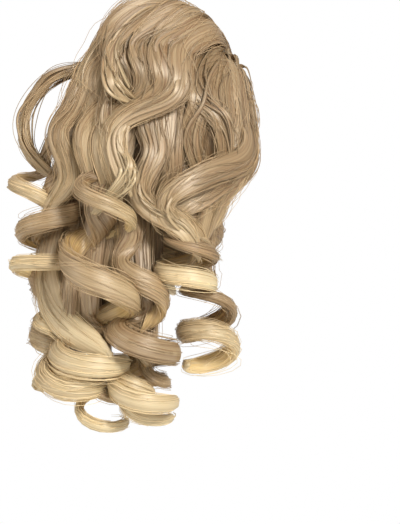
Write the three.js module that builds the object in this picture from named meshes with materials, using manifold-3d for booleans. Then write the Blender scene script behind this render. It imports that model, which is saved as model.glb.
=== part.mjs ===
// Clip-in curly hair extension: a shallow base cap that sits on the wearer, a plain comb inside it, and
// wefts of curled locks sewn round the cap.
// Millimetres. The origin is the middle of the cap's rim, the wearer is on +Y, the hair hangs at -Y.

import * as THREE from 'three';
import { mergeVertices } from 'three/addons/utils/BufferGeometryUtils.js';
import Module from 'manifold-3d';

const wasm = await Module();
wasm.setup();

// Base cap
const CAP_RADIUS = 36;
const CAP_DEPTH = 24;
const CAP_WALL = 1.6;
const CAP_SIDES = 24;
const CAP_RINGS = 6;
const CAP_ROUGHNESS = 0.9;

// Comb
const COMB_RING_RADIUS = 23.6;
const COMB_DEPTH = 8.15;
const COMB_HALF_ANGLE = 34;
const COMB_SPINE = 3;
const SPINE_OVERLAP = 0.6;
const COMB_TEETH = 7;
const TOOTH_LENGTH = 15;
const TOOTH_SIZE = 1.4;
const TOOTH_LEAN = 28;
const COMB_ROUGHNESS = 0.5;

// Wefts and locks
const GAP = 0.35;
const OUTER_RING = 0.92;
const INNER_RING = 0.55;
const STRIP_WIDTH = 5;
const STRIP_DEPTH = 2.4;
const STRIP_STEP = 15;
const ROOT_LIFT = 1.2;
const ROOT_WIDTH = 9;
const LOCK_THINNESS = 0.34;
const RINGLET_FULLNESS = 0.26;
const FULL_AFTER = 0.4;
const FULL_OVER = 0.3;
const WAVE = 0.2;
const CURL_AFTER = 0.3;
const CURL_GROWTH = 28;
const WIDEN_OVER = 0.25;
const NARROW_AFTER = 0.35;
const NARROW_OVER = 0.35;
const TIP_TAPER = 0.09;
const TIP_SHARE = 0.16;
const TIP_CLOSING = 0.15;
const CLOSING_OVER = 20;
const BEND_WIDTH = 0.9;
const HAIR_ROUGHNESS = 0.45;

// The locks are laid out in a frame turned about Z: across to the right, up, and out to the viewer
// who stands behind the wearer and to the right. The middle of the hair lies at HAIR_MIDDLE.
const LAYOUT_TURN = THREE.MathUtils.degToRad(40);
const HAIR_MIDDLE = new THREE.Vector3(-46, 0, 55);

// The flat of a lock faces away from the middle, partly to the viewer, and upwards near the crown
const FACE_VIEWER = 0.6;
const FACE_UP = 0.9;
const FACE_UP_FROM = -60;
const FACE_UP_OVER = 90;

// One row for each lock. The guide runs from its root on the cap over its crest, shoulder and waist to
// its tip, each point as across, up, out. The curl winds round the guide with its radius, negative for a
// left hand, and pitch. It crosses the front at the level frontAt and starts at the level from. A roll
// of 1 is a ringlet, and a small one is a flat wave.
const COLUMNS = ['name', 'rootAngle', 'crest', 'shoulder', 'waist', 'tip',
  'radius', 'pitch', 'frontAt', 'from', 'crestWidth', 'tipWidth', 'roll'];

const CROWN_LOCKS = [
  ['open_ring', 346, [-52, 6, 42], [-102, -9, 50], [-121, -42, 52], [-98, -82, 62],
    -3, 60, -75, -30, 16, 12, WAVE],
  ['far_side', 338, [-44, 22, -8], [-66, 2, -6], [-80, -44, 2], [-84, -132, 14],
    -12, 62, -96, -50, 28, 15, 0.6],
  ['far_ridge', 356, [-36, 34, 12], [-62, 18, 18], [-82, -32, 26], [-88, -116, 36],
    -11, 58, -70, -36, 30, 15, 0.5],
  ['ridge', 16, [-24, 38, 34], [-52, 30, 42], [-76, -10, 52], [-88, -92, 62],
    -10, 64, -40, -10, 30, 16, 0.3],
  ['dome', 30, [-14, 36, 58], [-42, 33, 70], [-64, 6, 82], [-84, -56, 90],
    -8, 80, -20, 10, 32, 22, WAVE],
  ['roll_left', 41, [-18, 37, 70], [-44, 28, 84], [-58, -4, 98], [-80, -96, 98],
    -15, 76, 6, 30, 28, 12, WAVE],
  ['wave_left', 50, [-8, 35, 76], [-30, 20, 92], [-43, -10, 105], [-72, -98, 104],
    -15, 76, 4, 28, 24, 11, WAVE],
  ['wave_mid', 59, [0, 32, 80], [-20, 14, 97], [-35, -14, 109], [-64, -92, 112],
    -15, 76, 5, 26, 22, 12, WAVE],
  ['wave_right', 72, [10, 24, 78], [-12, 6, 98], [-29, -20, 112], [-58, -86, 118],
    -15, 76, 6, 24, 22, 11, WAVE],
  ['wave_hook', 352, [-46, 8, 86], [-64, -46, 107], [-42, -76, 120], [-70, -104, 112],
    -2, 80, -20, 0, 14, 8, WAVE],
  ['crown_loop', 37, [-26, 38, 80], [-57, 9, 104], [-54, -16, 109], [-34, -36, 97],
    -2, 80, -20, 0, 9, 7, WAVE],
];

const RIGHT_LOCKS = [
  ['right_inner', 78, [13, 17, 60], [-6, -13, 86], [21, -42, 92], [10, -118, 72],
    2, 80, -16, -4, 18, 14, WAVE],
  ['right_wave', 86, [16, 6, 58], [4, -10, 82], [5, -50, 90], [2, -124, 66],
    8, 74, -34, -10, 26, 16, WAVE],
  ['right_fall', 92, [22, 0, 54], [17, -24, 76], [20, -62, 80], [6, -120, 60],
    7, 74, -44, -20, 26, 16, WAVE],
  ['right_ring', 98, [38, -60, 74], [6, -78, 104], [-20, -99, 112], [15, -136, 88],
    2, 84, -76, -44, 18, 14, WAVE],
  ['right_arch', 94, [33, -64, 66], [10, -92, 90], [-11, -107, 98], [8, -128, 94],
    2, 84, -76, -44, 20, 14, WAVE],
  ['right_curl', 104, [16, -18, 56], [2, -66, 80], [-6, -108, 90], [-6, -157, 92],
    -19, 25, -150, -106, 16, 12, 1],
  ['right_edge', 107, [30, -4, 42], [37, -32, 50], [36, -68, 58], [6, -118, 64],
    5, 80, -80, -50, 18, 12, WAVE],
  ['right_under', 103, [25, 4, 48], [30, -34, 64], [28, -74, 74], [4, -124, 78],
    5, 80, -80, -50, 24, 18, WAVE],
  ['pale_end', 116, [16, -15, 46], [14, -80, 58], [6, -148, 62], [11, -210, 82],
    -18, 27, -191, -142, 16, 13, 1],
];

const LEFT_LOCKS = [
  ['left_fall', 302, [-64, 2, 74], [-82, -22, 86], [-92, -62, 86], [-98, -112, 78],
    -8, 62, -62, -20, 26, 16, WAVE],
  ['left_loop', 294, [-62, -8, 58], [-88, -36, 56], [-106, -66, 56], [-116, -104, 60],
    -18, 36, -93, -62, 16, 9, 1],
  ['left_band', 284, [-60, -15, 72], [-82, -50, 72], [-98, -88, 72], [-102, -138, 72],
    20, 34, -108, -75, 16, 13, 1],
  ['left_tip', 274, [-62, -20, 66], [-82, -64, 70], [-98, -108, 74], [-106, -150, 74],
    22, 28, -138, -105, 14, 9, 1],
  ['left_low', 266, [-62, -25, 70], [-98, -110, 66], [-101, -168, 78], [-56, -200, 104],
    2, 84, -178, -110, 18, 22, WAVE],
  ['low_curl', 258, [-60, -30, 60], [-84, -96, 64], [-98, -156, 68], [-102, -196, 66],
    -11, 27, -184, -156, 14, 7, 1],
  ['low_disc', 250, [-62, -30, 70], [-80, -110, 76], [-88, -186, 86], [-85, -230, 70],
    -21, 32, -218, -188, 16, 14, 1],
];

const FRONT_LOCKS = [
  ['pale_ring', 300, [-46, -8, 86], [-58, -36, 100], [-64, -72, 104], [-63, -122, 108],
    -20, 60, -97, -66, 20, 10, 1],
  ['front_bow', 270, [-46, -16, 90], [-54, -60, 98], [-66, -100, 104], [-64, -180, 104],
    -22, 66, -150, -98, 24, 18, 1],
  ['bow_end', 262, [-44, -30, 80], [-52, -90, 84], [-60, -140, 88], [-62, -178, 88],
    -18, 40, -153, -140, 16, 14, 1],
  ['centre_fall', 60, [-26, -4, 84], [-32, -48, 104], [-32, -92, 110], [4, -135, 103],
    7, 60, -75, -30, 22, 14, WAVE],
  ['centre_twist', 90, [-12, -6, 80], [-16, -50, 98], [-14, -86, 98], [-4, -140, 92],
    -12, 72, -110, -70, 20, 14, 0.5],
  ['brown_hook', 225, [-36, -22, 84], [-46, -80, 90], [-42, -128, 98], [-28, -184, 98],
    -14, 64, -150, -112, 22, 15, 0.7],
  ['low_wide', 250, [-54, -30, 84], [-66, -96, 86], [-74, -162, 90], [-72, -212, 78],
    -24, 30, -205, -172, 18, 16, 1],
  ['low_ring', 150, [-34, -40, 78], [-40, -120, 86], [-36, -176, 94], [-35, -238, 78],
    -22, 40, -190, -160, 18, 14, 1],
  ['low_bottom', 205, [-50, -40, 66], [-60, -130, 70], [-64, -206, 78], [-64, -250, 58],
    -17, 22, -246, -208, 14, 8, 1],
  ['low_fill', 120, [-30, -40, 72], [-34, -120, 80], [-38, -192, 82], [-44, -236, 80],
    -12, 26, -224, -190, 14, 12, 1],
  ['low_side', 180, [-26, -40, 60], [-30, -130, 68], [-32, -200, 80], [-33, -247, 62],
    -17, 30, -242, -202, 16, 10, 1],
];

// Locks that follow a rule: a fan of them round the far side
const FAR_LOCKS = 9;
const FAR_ANGLES = [104, 264];
const FAR_ROOTS = [126, 237];
const FAR_REACHES = [0.5, 0.8, 0.94, 0.95];
const FAR_CRESTS = [-34, -48];
const FAR_TIPS = [-140, -228];
const FAR_STAGGER = [-16, 16];
const FAR_SHOULDER = 0.35;
const FAR_WAIST = 0.5;
const FAR_RADII = [-12, -18];
const FAR_PITCHES = [40, 60];
const FAR_FRONTS = [0, 44];
const FAR_WIDTHS = [28, 14];
const SPREAD_ACROSS = 52;
const SPREAD_OUT = 76;
const WEARER_CLEAR = 26;

function lerp([low, high], share) {
  return THREE.MathUtils.lerp(low, high, share);
}

function smoothstep(value) {
  return THREE.MathUtils.smoothstep(value, 0, 1);
}

// A repeatable spread of numbers from 0 to 1
function spread(index, salt) {
  const value = Math.sin(index * 12.9898 + salt * 78.233) * 43758.5453;
  return value - Math.floor(value);
}

// From the layout frame to the part's frame
function place(across, up, out) {
  const c = Math.cos(LAYOUT_TURN);
  const s = Math.sin(LAYOUT_TURN);
  return new THREE.Vector3(across * c + out * s, across * s - out * c, up);
}

// A guide point round the middle of the hair, kept clear of the wearer
function around(degrees, reach, up) {
  const angle = THREE.MathUtils.degToRad(degrees);
  const across = HAIR_MIDDLE.x + SPREAD_ACROSS * reach * Math.sin(angle);
  const out = HAIR_MIDDLE.z + SPREAD_OUT * reach * Math.cos(angle);
  const behind = out * Math.cos(LAYOUT_TURN) - across * Math.sin(LAYOUT_TURN);
  const push = Math.max(0, WEARER_CLEAR - behind);
  return [across - push * Math.sin(LAYOUT_TURN), up, out + push * Math.cos(LAYOUT_TURN)];
}

function farLock(_, i) {
  const share = i / (FAR_LOCKS - 1);
  const angle = lerp(FAR_ANGLES, share);
  const crest = lerp(FAR_CRESTS, spread(i, 2));
  const low = lerp(FAR_TIPS, share) + lerp(FAR_STAGGER, spread(i, 1));
  const levels = [crest, FAR_SHOULDER * low, FAR_WAIST * low, low];
  return ['far_' + i, lerp(FAR_ROOTS, share),
    ...levels.map((level, k) => around(angle, FAR_REACHES[k], level)),
    lerp(FAR_RADII, spread(i, 3)), lerp(FAR_PITCHES, spread(i, 4)), low + lerp(FAR_FRONTS, spread(i, 5)),
    FAR_WAIST * low, ...FAR_WIDTHS, 1];
}

function readRow(row) {
  return Object.fromEntries(COLUMNS.map((column, i) => [column, row[i]]));
}

// A point on the cap's outer face, or lifted off it
function capPoint(degrees, ring, lift = 0) {
  const angle = THREE.MathUtils.degToRad(degrees);
  const radius = ring * CAP_RADIUS;
  const depth = CAP_DEPTH * (1 - ring * ring) + lift;
  return new THREE.Vector3(radius * Math.sin(angle), -depth, radius * Math.cos(angle));
}

// The centre line of a lock as a dense row of samples with its facing at each
const SAMPLES = 160;
const SMOOTHING = 85;
const FACING_SMOOTHING = 60;

function lockSamples(lock, ring) {
  const guide = new THREE.CatmullRomCurve3([
    capPoint(lock.rootAngle, ring, ROOT_LIFT),
    place(...lock.crest), place(...lock.shoulder), place(...lock.waist), place(...lock.tip),
  ], false, 'centripetal');
  const viewer = place(0, 0, 1);
  const middle = place(...HAIR_MIDDLE);
  const samples = [];
  for (let i = 0; i <= SAMPLES; i++) {
    const t = i / SAMPLES;
    const point = guide.getPoint(t);
    const along = guide.getTangent(t);
    const front = viewer.clone().addScaledVector(along, -viewer.dot(along)).normalize();
    const left = along.clone().cross(front);
    const started = t > CURL_AFTER ? smoothstep((lock.from - point.z) / CURL_GROWTH) : 0;
    const closing = TIP_CLOSING * lock.roll * smoothstep(1 - (point.z - lock.tip[1]) / CLOSING_OVER);
    const turns = (lock.frontAt - point.z) / lock.pitch + closing;
    const turn = Math.sign(lock.radius) * 2 * Math.PI * turns;
    const reach = Math.abs(lock.radius) * started;
    const outward = point.clone().sub(middle).setZ(0).normalize().addScaledVector(viewer, FACE_VIEWER);
    outward.z = FACE_UP * smoothstep((point.z - FACE_UP_FROM) / FACE_UP_OVER);
    const radial = front.clone().multiplyScalar(Math.cos(turn)).addScaledVector(left, Math.sin(turn));
    point.addScaledVector(front, reach * lock.roll * Math.cos(turn));
    point.addScaledVector(left, reach * Math.sin(turn));
    samples.push({ point, facing: outward.lerp(radial, started * lock.roll) });
  }
  return samples;
}

// Draws each inner vector to its two neighbours
function smoothPass(vectors) {
  const before = vectors.map((vector) => vector.clone());
  for (let i = 1; i + 1 < vectors.length; i++) {
    vectors[i].multiplyScalar(2).add(before[i - 1]).add(before[i + 1]).divideScalar(4);
  }
}

function addFrames(samples, roll) {
  const last = samples.length - 1;
  const points = samples.map((sample) => sample.point);
  for (let pass = 0; pass < Math.round(SMOOTHING * (1 - roll)); pass++) {
    smoothPass(points);
  }
  samples.forEach((sample, i) => {
    sample.along = points[Math.min(i + 1, last)].clone().sub(points[Math.max(i - 1, 0)]).normalize();
  });
  const facings = samples.map((sample) => sample.facing);
  for (let pass = 0; pass < FACING_SMOOTHING; pass++) {
    smoothPass(facings);
    samples.forEach(({ facing, along }) => facing.addScaledVector(along, -facing.dot(along)).normalize());
  }
  samples.forEach((sample) => {
    sample.across = sample.along.clone().cross(sample.facing);
  });
}

// Length along the lock, and a measure that grows with length and bend, for even stations
const STEP_LENGTH = 130;
const STEP_BEND = THREE.MathUtils.degToRad(68);

function addMeasures(samples) {
  samples.forEach((sample, i) => {
    const before = samples[Math.max(i - 1, 0)];
    const step = sample.point.distanceTo(before.point);
    const bend = sample.along.angleTo(before.along);
    const edgewise = Math.abs(sample.along.clone().sub(before.along).dot(sample.across));
    sample.length = i ? before.length + step : 0;
    sample.measure = i ? before.measure + step / STEP_LENGTH + bend / STEP_BEND : 0;
    sample.edgeRadius = step / Math.max(edgewise, Number.EPSILON);
  });
}

function widthAt(lock, share) {
  const full = lerp([ROOT_WIDTH, lock.crestWidth], smoothstep(share / WIDEN_OVER));
  const width = lerp([full, lock.tipWidth], smoothstep((share - NARROW_AFTER) / NARROW_OVER));
  const taper = Math.sqrt(Math.min(1, Math.max(0, (1 - share) / TIP_TAPER)));
  return width * lerp([TIP_SHARE, 1], taper);
}

// The stations of a lock: a few samples, closer together where it bends
function lockStations(lock, ring) {
  const samples = lockSamples(lock, ring);
  addFrames(samples, lock.roll);
  addMeasures(samples);
  const total = samples[SAMPLES];
  const steps = Math.ceil(total.measure);
  const stations = [];
  for (let k = 0; k <= steps; k++) {
    const wanted = total.measure * k / steps;
    const sample = samples.find(({ measure }) => measure >= wanted) ?? total;
    const share = sample.length / total.length;
    const width = Math.min(widthAt(lock, share), BEND_WIDTH * sample.edgeRadius);
    const fullness = RINGLET_FULLNESS * lock.roll * smoothstep((share - FULL_AFTER) / FULL_OVER);
    stations.push({ ...sample, halfWidth: width / 2, halfDepth: width * (LOCK_THINNESS + fullness) / 2 });
  }
  return stations;
}

const MERGE_DISTANCE = 1e-3;

function solidFrom(geometry) {
  const bare = geometry.clone();
  bare.deleteAttribute('normal');
  bare.deleteAttribute('uv');
  const merged = mergeVertices(bare, MERGE_DISTANCE);
  return new wasm.Manifold(new wasm.Mesh({
    numProp: 3,
    vertProperties: merged.attributes.position.array,
    triVerts: new Uint32Array(merged.index.array),
  }));
}

function geometryFrom(solid) {
  const mesh = solid.getMesh();
  const geometry = new THREE.BufferGeometry();
  geometry.setAttribute('position', new THREE.BufferAttribute(mesh.vertProperties, 3));
  geometry.setIndex(new THREE.BufferAttribute(mesh.triVerts, 1));
  geometry.computeVertexNormals();
  return geometry;
}

// A closed skin over rings of corners, with flat ends
function loft(rings) {
  const sides = rings[0].length;
  const positions = rings.flat().flatMap((corner) => corner.toArray());
  const index = [];
  for (let k = 0; k + 1 < rings.length; k++) {
    for (let i = 0; i < sides; i++) {
      const a = k * sides + i;
      const b = k * sides + (i + 1) % sides;
      index.push(a, b, b + sides, a, b + sides, a + sides);
    }
  }
  const end = (rings.length - 1) * sides;
  for (let i = 1; i + 1 < sides; i++) {
    index.push(0, i + 1, i, end, end + i, end + i + 1);
  }
  const geometry = new THREE.BufferGeometry();
  geometry.setAttribute('position', new THREE.Float32BufferAttribute(positions, 3));
  geometry.setIndex(index);
  return geometry;
}

// A lock is a ribbon with a ridge on each face
function lockSolid(row, ring, grow) {
  const stations = lockStations(readRow(row), ring);
  const last = stations.length - 1;
  const rings = stations.map(({ point, along, across, facing, halfWidth, halfDepth }, k) => {
    const middle = point.clone().addScaledVector(along, k === 0 ? -grow : k === last ? grow : 0);
    return [
      middle.clone().addScaledVector(across, halfWidth + grow),
      middle.clone().addScaledVector(facing, -halfDepth - grow),
      middle.clone().addScaledVector(across, -halfWidth - grow),
      middle.clone().addScaledVector(facing, halfDepth + grow),
    ];
  });
  return solidFrom(loft(rings));
}

// The sewn strip that a weft's locks are fused to, an arc on the cap
function stripSolid(weft, grow) {
  const [from, to] = weft.strip;
  const steps = Math.ceil((to - from) / STRIP_STEP);
  const half = (STRIP_WIDTH / 2 + grow) / CAP_RADIUS;
  const low = -CAP_WALL;
  const high = STRIP_DEPTH + grow;
  const rings = [];
  for (let k = 0; k <= steps; k++) {
    const degrees = lerp(weft.strip, k / steps);
    rings.push([
      capPoint(degrees, weft.ring - half, low), capPoint(degrees, weft.ring + half, low),
      capPoint(degrees, weft.ring + half, high), capPoint(degrees, weft.ring - half, high),
    ]);
  }
  return solidFrom(loft(rings));
}

function weftSolid(weft, grow = 0) {
  const locks = weft.locks.map((row) => lockSolid(row, weft.ring, grow));
  return locks.reduce((a, b) => a.add(b), stripSolid(weft, grow));
}

// The cap, as a wall or as the solid space that it and the wearer fill
function capProfile(radius, depth) {
  const points = [];
  for (let k = 0; k <= CAP_RINGS; k++) {
    const ring = Math.sin((k / CAP_RINGS) * Math.PI / 2);
    points.push(new THREE.Vector2(radius * ring, -depth * (1 - ring * ring)));
  }
  points[0].x = 0;
  return points;
}

function baseCap() {
  const outer = capProfile(CAP_RADIUS, CAP_DEPTH);
  const inner = capProfile(CAP_RADIUS - CAP_WALL, CAP_DEPTH - CAP_WALL).reverse();
  return solidFrom(new THREE.LatheGeometry([...outer, ...inner], CAP_SIDES));
}

function capSpace() {
  const outer = capProfile(CAP_RADIUS + GAP, CAP_DEPTH + GAP);
  const back = [new THREE.Vector2(CAP_RADIUS + GAP, 2 * CAP_DEPTH), new THREE.Vector2(0, 2 * CAP_DEPTH)];
  return solidFrom(new THREE.LatheGeometry([...outer, ...back], CAP_SIDES));
}

// The comb: an arched spine against the cap's inner wall with a row of teeth
function combSolid() {
  const halfAngle = THREE.MathUtils.degToRad(COMB_HALF_ANGLE);
  const spacing = 2 * halfAngle / (COMB_TEETH - 1);
  const reach = 2 * COMB_RING_RADIUS * Math.tan(spacing / 2) + SPINE_OVERLAP;
  const pieces = [];
  for (let k = 0; k < COMB_TEETH; k++) {
    const angle = k * spacing - halfAngle;
    const seat = new THREE.Vector3(Math.sin(angle), 0, Math.cos(angle)).multiplyScalar(COMB_RING_RADIUS);
    seat.y = -COMB_DEPTH;
    const spine = new THREE.BoxGeometry(reach, COMB_SPINE, COMB_SPINE);
    spine.rotateY(angle);
    spine.translate(...seat);
    const tooth = new THREE.BoxGeometry(TOOTH_SIZE, TOOTH_SIZE, TOOTH_LENGTH);
    tooth.translate(0, 0, -TOOTH_LENGTH / 2);
    tooth.rotateX(THREE.MathUtils.degToRad(TOOTH_LEAN));
    tooth.translate(...seat);
    pieces.push(solidFrom(spine), solidFrom(tooth));
  }
  return pieces.reduce((a, b) => a.add(b));
}

const FAN = Array.from({ length: FAR_LOCKS }, farLock);
const WEFTS = [
  { name: 'crown_weft', locks: CROWN_LOCKS, ring: OUTER_RING, strip: [332, 434], colour: '#bfa682' },
  { name: 'right_weft', locks: RIGHT_LOCKS, ring: OUTER_RING, strip: [77, 120], colour: '#b89c74' },
  { name: 'left_weft', locks: LEFT_LOCKS, ring: OUTER_RING, strip: [244, 316], colour: '#c4ab82' },
  { name: 'front_weft', locks: FRONT_LOCKS, ring: INNER_RING, strip: [52, 308], colour: '#c9b48c' },
  { name: 'far_weft', locks: FAN, ring: OUTER_RING, strip: [123, 240], colour: '#bda27a' },
];

// The one body that is left when crumbs and closed pockets are dropped
function largestPiece(solid) {
  const clean = solidFrom(geometryFrom(solid));
  return clean.decompose().reduce((a, b) => (b.volume() > a.volume() ? b : a));
}

function addMesh(group, name, solid, colour, roughness) {
  const material = new THREE.MeshStandardMaterial({ color: colour, roughness, metalness: 0 });
  const mesh = new THREE.Mesh(geometryFrom(solid), material);
  mesh.name = name;
  group.add(mesh);
}

const extension = new THREE.Group();
addMesh(extension, 'base_cap', baseCap(), '#5a4634', CAP_ROUGHNESS);
addMesh(extension, 'comb', combSolid(), '#2e2622', COMB_ROUGHNESS);

// Each weft gives way to the cap and to the wefts that lie over it
let taken = capSpace();
for (const weft of WEFTS) {
  const solid = weftSolid(weft);
  addMesh(extension, weft.name, largestPiece(solid.subtract(taken)), weft.colour, HAIR_ROUGHNESS);
  taken = taken.add(solid).add(weftSolid(weft, GAP));
}

export default extension;
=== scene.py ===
# %% [markdown]
# This lesson dresses a clip-in hairpiece: a shallow cap with a hidden comb, and five rows of curled locks
# sewn round it. The solids of the locks come from the part, and here they turn into hair. The part is
# loaded first and stays fixed, because each new piece has to lie where its solid lies.

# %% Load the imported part
import math

import bpy
import numpy as np
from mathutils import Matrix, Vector


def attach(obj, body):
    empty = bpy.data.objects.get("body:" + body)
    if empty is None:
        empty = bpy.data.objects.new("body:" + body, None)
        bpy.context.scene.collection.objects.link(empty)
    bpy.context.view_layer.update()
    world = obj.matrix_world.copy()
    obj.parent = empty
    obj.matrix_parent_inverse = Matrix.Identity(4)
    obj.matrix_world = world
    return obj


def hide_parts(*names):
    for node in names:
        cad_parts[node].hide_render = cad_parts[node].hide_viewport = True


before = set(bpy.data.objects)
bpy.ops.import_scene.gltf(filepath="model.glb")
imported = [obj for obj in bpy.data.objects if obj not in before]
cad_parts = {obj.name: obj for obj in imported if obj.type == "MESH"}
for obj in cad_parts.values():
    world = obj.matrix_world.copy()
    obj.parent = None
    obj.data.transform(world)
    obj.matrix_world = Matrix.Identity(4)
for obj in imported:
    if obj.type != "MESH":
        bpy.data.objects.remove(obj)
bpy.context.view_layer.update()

MM = 0.001
print("nodes", sorted(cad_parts))

# %% [markdown]
# The photograph looks at the hair from behind the wearer and from the right, level with the curls. A long
# lens far away gives the flat look of a product picture. The locks were laid out in the photograph's own
# frame, across, up and towards the viewer, so one function turns that frame into the part's.

# %% Camera
PHOTO_HEIGHT = 524
PIXEL = 0.70 * MM
ORIGIN_PIXEL = (195, 66)
CENTRE_PIXEL = (200, 262)
VIEW_TURN = math.radians(40)
HAIR_MIDDLE = (-46, 0, 55)
CAMERA_DISTANCE = 3.0
CAMERA_REACH = 20
SENSOR = 36


def place(across, up, out):
    """A point of the layout frame, in millimetres, as a point of the part, in metres."""
    c = math.cos(VIEW_TURN)
    s = math.sin(VIEW_TURN)
    return MM * np.array([across * c + out * s, across * s - out * c, up])


def new_object(name, data):
    """An object with this data, linked to the scene."""
    made = bpy.data.objects.new(name, data)
    bpy.context.collection.objects.link(made)
    return made


aim_across = (CENTRE_PIXEL[0] - ORIGIN_PIXEL[0]) * PIXEL / MM
aim_up = (ORIGIN_PIXEL[1] - CENTRE_PIXEL[1]) * PIXEL / MM
camera = new_object("camera", bpy.data.cameras.new("camera"))
camera.location = place(aim_across, aim_up, HAIR_MIDDLE[2] + CAMERA_DISTANCE / MM)
camera.rotation_euler = (math.pi / 2, 0, VIEW_TURN)
camera.data.sensor_width = SENSOR
camera.data.lens = SENSOR * CAMERA_DISTANCE / (PHOTO_HEIGHT * PIXEL)
camera.data.clip_end = CAMERA_REACH
bpy.context.scene.camera = camera
print("lens", round(camera.data.lens), "mm")

# %% [markdown]
# The light of the room, the materials and everything that repeats are node trees. A few short functions
# build them. A node takes plain values and the sockets of other nodes in the same way, so that a tree
# reads like a formula.

# %% Functions for node trees
# Some nodes have sockets that share a name, so these are found by their places.
MIX_FACTOR = 0
MIX_FIRST = 6
MIX_SECOND = 7
MIX_RESULT = 2
RANDOM_LOW = 2
RANDOM_HIGH = 3
RANDOM_NUMBER = 1
TRIM_START = 2
TRIM_END = 3


def feed(tree, socket, value):
    """Link a socket to an input, or give the input a plain value."""
    if isinstance(value, bpy.types.NodeSocket):
        tree.links.new(value, socket)
    else:
        socket.default_value = value


def add_node(tree, kind, inputs=None, **settings):
    """A new node with these settings, and with sockets or plain values in its inputs."""
    made = tree.nodes.new(kind)
    for key, value in settings.items():
        setattr(made, key, value)
    for key, value in (inputs or {}).items():
        feed(tree, made.inputs[key], value)
    return made


def joined(tree, kind, *sources, **settings):
    """A node with each source in its inputs in turn, where None skips one; gives its first output."""
    inputs = {key: source for key, source in enumerate(sources) if source is not None}
    return add_node(tree, kind, inputs, **settings).outputs[0]


def mapped(tree, source, low, high):
    """source stretched so that low to high becomes 0 to 1."""
    limits = {"Value": source, "From Min": low, "From Max": high}
    return add_node(tree, "ShaderNodeMapRange", limits).outputs["Result"]


def mix_colour(tree, factor, first, second, blend="MIX"):
    """Blend two colours by a factor."""
    inputs = {MIX_FACTOR: factor, MIX_FIRST: first, MIX_SECOND: second}
    return add_node(tree, "ShaderNodeMix", inputs, data_type="RGBA", blend_type=blend).outputs[MIX_RESULT]


def bumped(tree, shader, height, strength, distance):
    """Raise the surface of a shader by a height."""
    inputs = {"Height": height, "Strength": strength, "Distance": distance}
    feed(tree, shader.inputs["Normal"], add_node(tree, "ShaderNodeBump", inputs).outputs["Normal"])


def new_material(name):
    """A material with its node tree and its shader."""
    material = bpy.data.materials.new(name)
    material.use_nodes = True
    return material, material.node_tree, material.node_tree.nodes["Principled BSDF"]


print("functions for node trees are ready")

# %% [markdown]
# A product picture like this one is lit by large soft boxes in a white room. A warm white world fills the
# shadows, a box above and to the right draws the shine across the bends of the locks, a wide one from the
# left keeps the far curls open, and one above lights the crown. The floor is a pale disc well below.

# %% Light and floor
LIGHTS = [
    # name, across, up, out, size, watts
    ("key", 600, 560, 1400, 0.4, 28),
    ("fill", -1300, 100, 700, 1.2, 7),
    ("top", -150, 1200, -100, 0.8, 8),
]
LIGHT_AIM = (-40, -80, 60)
ROOM_LIGHT = 0.55
ROOM_COLOUR = (1.0, 0.95, 0.87, 1)
BACKDROP_LIGHT = 1.0
BACKDROP_COLOUR = (1, 1, 1, 1)
FLOOR_LEVEL = -0.4
FLOOR_RADIUS = 1.0
FLOOR_SIDES = 96
PAPER_COLOUR = (0.86, 0.86, 0.85, 1)
PAPER_ROUGHNESS = 0.8

for name, across, up, out, size, watts in LIGHTS:
    lamp = bpy.data.lights.new(name, "AREA")
    lamp.shape = "DISK"
    lamp.size = size
    lamp.energy = watts
    light = new_object(name, lamp)
    light.location = place(across, up, out)
    towards = Vector(place(*LIGHT_AIM)) - light.location
    light.rotation_euler = towards.to_track_quat("-Z", "Y").to_euler()

scene = bpy.context.scene
scene.view_settings.view_transform = "Standard"
world = bpy.data.worlds.new("white_room")
world.use_nodes = True
tree = world.node_tree
backdrop = tree.nodes["Background"]
seen = add_node(tree, "ShaderNodeLightPath").outputs["Is Camera Ray"]
limits = {"Value": seen, "To Min": ROOM_LIGHT, "To Max": BACKDROP_LIGHT}
brightness = add_node(tree, "ShaderNodeMapRange", limits).outputs["Result"]
feed(tree, backdrop.inputs["Color"], mix_colour(tree, seen, ROOM_COLOUR, BACKDROP_COLOUR))
feed(tree, backdrop.inputs["Strength"], brightness)
scene.world = world

bpy.ops.mesh.primitive_circle_add(vertices=FLOOR_SIDES, radius=FLOOR_RADIUS, fill_type="NGON",
                                  location=(0, 0, FLOOR_LEVEL))
floor = bpy.context.object
floor.name = "floor"
paper, _, shader = new_material("paper")
shader.inputs["Base Color"].default_value = PAPER_COLOUR
shader.inputs["Roughness"].default_value = PAPER_ROUGHNESS
floor.data.materials.append(paper)
print(len(LIGHTS), "soft boxes")

# %% [markdown]
# Curled hair is a lock of many fibres that keep side by side, so its colour changes little along a fibre
# and much across it. The shared effect here is a node group that stretches a noise along the fibres. It
# reads an attribute that each mesh carries: millimetres across the lock, millimetres along it, and a
# number of its own for each lock.

# %% Streaks shared by the hair materials
NOISE_ROUGHNESS = 0.6
STREAK_STRETCH = (0.8, 0.004, 7.3)
STREAK_DETAIL = 3
STREAK_LIMITS = (0.35, 0.66)
LOWLIGHT_STRETCH = (0.5, 0.004, 3.1)
LOWLIGHT_DETAIL = 2
LOWLIGHT_LIMITS = (0.48, 0.66)
FIBRE_STRETCH = (2.6, 0.006, 5.7)
FIBRE_DETAIL = 2


def stretched_noise(tree, source, stretch, detail):
    """A noise that runs along the fibres: stretch gives its steps across, along and between locks."""
    scaled = joined(tree, "ShaderNodeVectorMath", source, stretch, operation="MULTIPLY")
    inputs = {"Vector": scaled, "Scale": 1.0, "Detail": detail, "Roughness": NOISE_ROUGHNESS}
    return add_node(tree, "ShaderNodeTexNoise", inputs).outputs["Fac"]


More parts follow.
